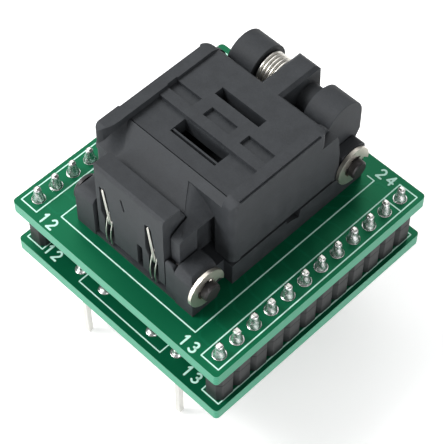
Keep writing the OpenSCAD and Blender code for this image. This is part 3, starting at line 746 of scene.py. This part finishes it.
# %% Strokes
def stroke_mesh(name, strokes, z, width, height):
    """Flat strokes with round ends along each polyline, raised by height above z (mm).

    Neighbouring strokes overlap at their ends, so each stands a hair higher than the last one.
    """
    verts, faces = [], []
    for line in strokes:
        for i, ((ax, ay), (bx, by)) in enumerate(zip(line, line[1:])):
            turn = math.atan2(by - ay, bx - ax)
            around = [(bx, by, turn - math.pi / 2 + math.pi * k / 6) for k in range(7)]
            around += [(ax, ay, turn + math.pi / 2 + math.pi * k / 6) for k in range(7)]
            edge = [(x + math.cos(a) * width / 2, y + math.sin(a) * width / 2) for x, y, a in around]
            rise = height + 0.002 * (i % 5)
            low, top = len(verts), len(verts) + len(edge)
            verts += [(x * MM, y * MM, z * MM) for x, y in edge]
            verts += [(x * MM, y * MM, (z + rise) * MM) for x, y in edge]
            faces.append(range(top, top + len(edge)))
            faces.append(range(top - 1, low - 1, -1))
            for j in range(len(edge)):
                k = (j + 1) % len(edge)
                faces.append((low + j, low + k, top + k, top + j))
    return shell_mesh(name, verts, faces, smooth=False)


def arc(cx, cy, rx, ry, a0, a1, n=8):
    steps = [math.radians(a0 + (a1 - a0) * i / n) for i in range(n + 1)]
    return [(cx + rx * math.cos(a), cy + ry * math.sin(a)) for a in steps]


def rectangle(x0, y0, x1, y1):
    return [(x0, y0), (x1, y0), (x1, y1), (x0, y1), (x0, y0)]


# Each digit is drawn in a box one unit wide and one unit high.
DIGITS = {
    "1": [[(0.22, 0.78), (0.5, 1.0), (0.5, 0.0)]],
    "2": [arc(0.42, 0.70, 0.36, 0.30, 160, -30) + [(0.06, 0.0), (0.82, 0.0)]],
    "3": [arc(0.38, 0.76, 0.34, 0.24, 150, -90, 7), arc(0.38, 0.27, 0.40, 0.27, 90, -150, 8)],
    "4": [[(0.62, 0.0), (0.62, 1.0), (0.02, 0.32), (0.88, 0.32)]],
}
DIGIT_HEIGHT = 1.26
DIGIT_WIDTH = 0.72 * DIGIT_HEIGHT


def written(text, x, y, step):
    """Strokes of a number that starts at (x, y), its baseline along +X."""
    lines = []
    for i, digit in enumerate(text):
        for line in DIGITS[digit]:
            lines.append([(x + i * step + px * DIGIT_WIDTH, y + py * DIGIT_HEIGHT) for px, py in line])
    return lines


print("digits drawn:", ", ".join(DIGITS))

# %% Printed lines
FRAME_HALF_W, FRAME_MARGIN = 1.24, 1.4
FRAME_END = ROW_HALF + FRAME_MARGIN
LINE_WIDTH, LINE_RISE = 0.15, 0.02
row_frames = [
    rectangle(side * STACK_X - FRAME_HALF_W, -FRAME_END, side * STACK_X + FRAME_HALF_W, FRAME_END)
    for side in (-1, 1)
]
last_pin_y = ROW_HALF - PITCH / 2
last_pin_line = [(STACK_X - FRAME_HALF_W, last_pin_y), (STACK_X + FRAME_HALF_W, last_pin_y)]
# The socket's outline on the upper board is open at the rear, behind the bracket.
socket_x, socket_front, socket_rear = 10.36, -13.88, 13.75
socket_outline = [
    (9.4, socket_rear),
    (socket_x, socket_rear),
    (socket_x, socket_front),
    (-socket_x, socket_front),
    (-socket_x, socket_rear),
    (-9.2, socket_rear),
]
middle_frame = rectangle(-6.6, -15.35, 6.3, 15.35)
PRINTS = [
    ("upper", DECK, [*row_frames, last_pin_line, socket_outline]),
    ("lower", LOW_TOP, [*row_frames, middle_frame]),
]
for board, z, strokes in PRINTS:
    mesh = stroke_mesh(board + "_lines", strokes, z, LINE_WIDTH, LINE_RISE)
    piece = add_object(board + "_print.lines", mesh, SILK, "adapter")
    print(piece.name, len(mesh.polygons), "faces")

# %% Pin numbers
NUMBER_WIDTH, NUMBER_RISE = 0.24, 0.022
# Each number is its text, the place of its lower left corner, and the step between digits.
NUMBERS = [
    ("upper", DECK, [("12", -11.95, -15.88, 1.28), ("13", 9.85, -15.88, 1.36), ("24", 9.95, 14.45, 1.36)]),
    ("lower", LOW_TOP, [("12", -12.55, -15.42, 1.28), ("13", 9.65, -15.42, 1.36), ("24", 9.95, 14.2, 1.36)]),
]
for board, z, numbers in NUMBERS:
    strokes = [line for number in numbers for line in written(*number)]
    mesh = stroke_mesh(board + "_numbers", strokes, z, NUMBER_WIDTH, NUMBER_RISE)
    piece = add_object(board + "_print.numbers", mesh, SILK, "adapter")
    print(piece.name, len(mesh.polygons), "faces")

# %% [markdown]
# ## Tracks and pads
#
# Copper tracks under the mask show as faint ridges in a slightly lighter green. They are the
# same strokes as the printing, only lower. Round each pin hole the copper pad is bare and
# tinned: a flat ring, which peeps out round the foot of the solder.

# %% Tracks under the mask
def track_lines():
    """From each stacking pin a track runs in, bends and slants towards the socket's middle."""
    start_x, bend_x, bend_step = 12.9, 11.28, 0.04
    # Each pair is an x and the share of the pin's y that the track still keeps there.
    slant = [(8.6, 0.797), (7.0, 0.652)]
    middle = (ROW_PINS - 1) / 2
    lines = []
    for side in (-1, 1):
        for i, y in enumerate(ROW_Y):
            straight = [(side * start_x, y), (side * (bend_x - bend_step * abs(i - middle)), y)]
            lines.append(straight + [(side * x, y * share) for x, share in slant])
    return lines


TRACK_WIDTH, TRACK_RISE = 0.28, 0.008
mesh = stroke_mesh("tracks", track_lines(), DECK, TRACK_WIDTH, TRACK_RISE)
piece = add_object("upper_board.tracks", mesh, TRACK, "adapter")
print(piece.name, len(mesh.polygons), "faces")

# %% Solder pads
PAD_OUTER, PAD_INNER, PAD_RISE, PAD_SLOPE = 0.79, 0.52, 0.012, 0.03


def pad_mesh(name, spots, z, sides=28):
    """Flat rings round the pin holes, their outer edge slightly sloped."""
    section = [
        (PAD_OUTER, 0),
        (PAD_OUTER - PAD_SLOPE, PAD_RISE),
        (PAD_INNER, PAD_RISE),
        (PAD_INNER, 0),
    ]
    verts, faces = [], []
    for x, y in spots:
        base = len(verts)
        for r, h in section:
            for i in range(sides):
                a = 2 * math.pi * i / sides
                verts.append(((x + r * math.cos(a)) * MM, (y + r * math.sin(a)) * MM, (z + h) * MM))
        for ring in range(len(section)):
            for i in range(sides):
                k = (i + 1) % sides
                a, b = base + ring * sides, base + ((ring + 1) % len(section)) * sides
                faces.append((a + i, a + k, b + k, b + i))
    return shell_mesh(name, verts, faces, smooth=False)


for board, columns, z in [
    ("upper_board", (STACK_X,), DECK),
    ("lower_board", (SPARE_X, DIP_X), LOW_TOP),
]:
    spots = [(side * x, y) for side in (-1, 1) for x in columns for y in ROW_Y]
    name = board + ".pads"
    add_object(name, pad_mesh(name, spots, z), SOLDER, "adapter")
    print(name, len(spots), "pads")

# %% [markdown]
# ## Springs
#
# Both kinds are bent from round wire. A curve object with a round bevel would look the same;
# here each is a swept mesh. The hinge spring coils round the hinge: its left end is on the
# bracket and its right end on the lid. Each latch spring runs from its two feet up to its tall
# hairpin leg in the latch.

# %% Wire sweep
def wire_piece(name, points, diameter, sides):
    """A closed round tube along points (mm, z from the deck), its rings carried on without twist."""
    route = [Vector((x, y, z + DECK)) * MM for x, y, z in points]
    side = Vector((1, 0, 0))
    verts, faces = [], []
    last = len(route) - 1
    for i, point in enumerate(route):
        ahead = (route[min(i + 1, last)] - route[max(i - 1, 0)]).normalized()
        side = (side - ahead * side.dot(ahead)).normalized()
        up = ahead.cross(side)
        for k in range(sides):
            a = 2 * math.pi * k / sides
            verts.append(point + (side * math.cos(a) + up * math.sin(a)) * diameter * MM / 2)
    for i in range(last):
        for k in range(sides):
            n = (k + 1) % sides
            faces.append((i * sides + k, i * sides + n, (i + 1) * sides + n, (i + 1) * sides + k))
    faces.append(tuple(reversed(range(sides))))
    faces.append(tuple(range(last * sides, last * sides + sides)))
    mesh = shell_mesh(name, verts, faces)
    mesh.materials.append(WIRE)
    print(name, len(mesh.polygons), "faces")
    return into_scene(bpy.data.objects.new(name, mesh))


def between(a, b, t):
    """The value at share t of the way from a to b."""
    return a + (b - a) * t


def coil(x0, x1, y, z, r, a0, a1, steps):
    """Points of a coil about an axis along X; 0 degrees points to +Y, 90 to +Z."""
    points = []
    for i in range(steps + 1):
        a = math.radians(between(a0, a1, i / steps))
        points.append((between(x0, x1, i / steps), y + r * math.cos(a), z + r * math.sin(a)))
    return points


# %% Hinge spring
HINGE_Y, HINGE_Z = 11.2, 9.4
COIL_R, COIL_WIRE, COIL_TURNS = 2.13, 0.4, 5.25
BRACKET_X, LID_X = -3.62, -1.25
BRACKET_LEG, LID_LEG = 3.6, 4.0
LEG_STEPS = 8
hinge_route = [
    (BRACKET_X, HINGE_Y + COIL_R, HINGE_Z - BRACKET_LEG + BRACKET_LEG * i / LEG_STEPS)
    for i in range(LEG_STEPS)
]
hinge_route += coil(
    BRACKET_X, LID_X, HINGE_Y, HINGE_Z, COIL_R, 0, 360 * COIL_TURNS, round(36 * COIL_TURNS)
)
hinge_route += [
    (LID_X, HINGE_Y - LID_LEG * i / LEG_STEPS, HINGE_Z + COIL_R) for i in range(1, LEG_STEPS + 1)
]
hinge_wire = wire_piece("hinge_spring.wire", hinge_route, COIL_WIRE, 14)
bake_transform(hinge_wire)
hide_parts("hinge_spring")

# %% Latch springs
SHAFT_Y, SHAFT_Z = -11.1, 4.15
LATCH_FACE_Y, SLOT_TOP, SILL = -12.6, 9.6, 0.45
THIN_WIRE, THIN_COIL_R = 0.16, 1.4
# The hairpin leg leans sideways on its way down from the tip to the coils. Its two wires draw
# apart (half distances, in wire diameters) and sink into the latch's slot (insets, in mm).
LEAN, TIP_DROP, TIP_STEPS = 0.65, 0.45, 12
TIP_APART, LOW_APART = 0.54, 0.84
TIP_INSET, LOW_INSET = 0.05, 0.15
BEND_DROP, BEND_INSET = 0.3, 0.08
COIL_HALF_W, FOOT_HALF_W = 0.38, 0.34
FOOT_BOW, FOOT_SWEEP = 0.28, 160


def half_spring(x, s):
    """Half of the hairpin leg, the coils on one side (s is -1 or 1) and their foot."""
    low_x = x + LEAN
    points = []
    for i in range(TIP_STEPS):
        t = i / TIP_STEPS
        leg_x = x + LEAN * t + s * THIN_WIRE * between(TIP_APART, LOW_APART, t)
        leg_y = LATCH_FACE_Y + between(TIP_INSET, LOW_INSET, t)
        points.append((leg_x, leg_y, between(SLOT_TOP - TIP_DROP, SHAFT_Z, t)))
    start_x, end_x = low_x + s * THIN_WIRE * LOW_APART, low_x + s * COIL_HALF_W
    points += coil(start_x, end_x, SHAFT_Y, SHAFT_Z, THIN_COIL_R, 180, 540, 48)
    for i in range(1, LEG_STEPS + 1):
        t = i / LEG_STEPS
        bow = FOOT_BOW * math.sin(math.radians(FOOT_SWEEP * t))
        foot_x = low_x + s * between(COIL_HALF_W, FOOT_HALF_W, t)
        points.append((foot_x, SHAFT_Y - THIN_COIL_R - bow, between(SHAFT_Z, SILL, t)))
    return points


for number, x in enumerate((-4.45, 2.3), 1):
    bend = (x, LATCH_FACE_Y + BEND_INSET, SLOT_TOP - BEND_DROP)
    route = [*reversed(half_spring(x, -1)), bend, *half_spring(x, 1)]
    spring = wire_piece(f"latch_spring.{number}", route, THIN_WIRE, 10)
    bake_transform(spring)
    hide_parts("latch_springs")

# %% [markdown]
# ## Floor and world
#
# The part stands on a plain pale floor that catches its shadow. A stronger lamp would whiten
# the floor too, but it would also flood the part. So the floor glows a little, and only for
# rays from the camera and for those that shiny surfaces send on: it is white behind the part
# and in the pins, and throws no diffuse light. The world is white for the camera alone, because
# a white sky in every reflection would turn the dark mask and the black plastic pale.

# %% Floor and world
def background_rays(tree):
    """A value of 1 for rays that show the background: from the camera, or off metal and glass."""
    path = tree.nodes.new("ShaderNodeLightPath")
    reflected = tree.nodes.new("ShaderNodeMath")
    reflected.operation = "MAXIMUM"
    either = tree.nodes.new("ShaderNodeMath")
    either.operation = "MAXIMUM"
    tree.links.new(path.outputs["Is Glossy Ray"], reflected.inputs[0])
    tree.links.new(path.outputs["Is Transmission Ray"], reflected.inputs[1])
    tree.links.new(path.outputs["Is Camera Ray"], either.inputs[0])
    tree.links.new(reflected.outputs[0], either.inputs[1])
    return either.outputs[0]


FLOOR_HALF = 3
FLOOR_GLOW = 0.5
WORLD_LEVEL = 0.34
corners = [(x * FLOOR_HALF, y * FLOOR_HALF, 0) for x, y in ((-1, -1), (1, -1), (1, 1), (-1, 1))]
floor_mesh = bpy.data.meshes.new("floor")
floor_mesh.from_pydata(corners, [], [(0, 1, 2, 3)])
floor = into_scene(bpy.data.objects.new("floor", floor_mesh))
floor_paper = surface(
    "floor_paper",
    (0.84, 0.84, 0.84),
    (0.86, 0.86, 0.86),
    (0.8, 0.9),
    scale=20.0,
    grain=(50.0, 0.0, 0.0001),
    shine_level=0.1,
)
floor_mesh.materials.append(floor_paper)
tree = floor_paper.node_tree
glow = tree.nodes.new("ShaderNodeMath")
glow.operation = "MULTIPLY"
glow.inputs[1].default_value = FLOOR_GLOW
tree.nodes["Principled BSDF"].inputs["Emission Color"].default_value = (1, 1, 1, 1)
tree.links.new(background_rays(tree), glow.inputs[0])
tree.links.new(glow.outputs[0], tree.nodes["Principled BSDF"].inputs["Emission Strength"])

world = bpy.data.worlds.new("world")
bpy.context.scene.world = world
world.use_nodes = True
tree = world.node_tree
seen = tree.nodes.new("ShaderNodeLightPath")
level = tree.nodes.new("ShaderNodeMapRange")
level.inputs["To Min"].default_value = WORLD_LEVEL
level.inputs["To Max"].default_value = 1.0
tree.links.new(seen.outputs["Is Camera Ray"], level.inputs["Value"])
tree.links.new(level.outputs[0], tree.nodes["Background"].inputs["Strength"])
tree.nodes["Background"].inputs["Color"].default_value = (1, 1, 1, 1)
print("floor glow", FLOOR_GLOW, "world level", WORLD_LEVEL)

# %% [markdown]
# ## Lights and camera
#
# Small parts are lit with soft boxes, so that edges shade gently and metal shows broad
# highlights. There are four area lights: a key from the front left, a wide sky light whose
# reflection gives the board its sheen, and two low ones that open the front and the right
# side. The camera looks from the front right, well above, through a long lens, which keeps
# parallel edges nearly parallel.

# %% Lights
def area(name, where, size, power, target=(0, 0, 0.02)):
    """A square light (metres, watts) at a place, turned to the target."""
    light = bpy.data.lights.new(name, "AREA")
    light.size = size
    light.energy = power
    obj = into_scene(bpy.data.objects.new(name, light))
    obj.location = where
    obj.rotation_euler = (Vector(target) - Vector(where)).to_track_quat("-Z", "Y").to_euler()


area("key", (-0.25, -0.22, 0.40), 0.20, 1.75)
area("sky", (-0.24, 0.19, 0.40), 0.44, 1.0)
area("front", (-0.17, -0.45, 0.12), 0.20, 0.85)
area("side", (0.46, -0.14, 0.10), 0.24, 0.85)
print("lights:", len(bpy.data.lights))

# %% Camera
AIM = Vector((2.445, -2.047, DECK)) * MM
AZIMUTH, ELEVATION, ROLL = (math.radians(a) for a in (44.804, 54.575, 0.167))
DISTANCE = 174.142 * MM
SENSOR_WIDTH, LENS = 36.0, 130.5
back = Vector(
    (
        math.sin(AZIMUTH) * math.cos(ELEVATION),
        -math.cos(AZIMUTH) * math.cos(ELEVATION),
        math.sin(ELEVATION),
    )
)
camera = into_scene(bpy.data.objects.new("camera", bpy.data.cameras.new("camera")))
camera.location = AIM + back * DISTANCE
camera.rotation_euler = (-back).to_track_quat("-Z", "Y").to_euler()
camera.rotation_euler.rotate_axis("Z", ROLL)
camera.data.sensor_width = SENSOR_WIDTH
camera.data.lens = LENS
camera.data.clip_start = 0.01
bpy.context.scene.camera = camera
bpy.context.scene.view_settings.view_transform = "Standard"
print("camera at", [round(c, 4) for c in camera.location])
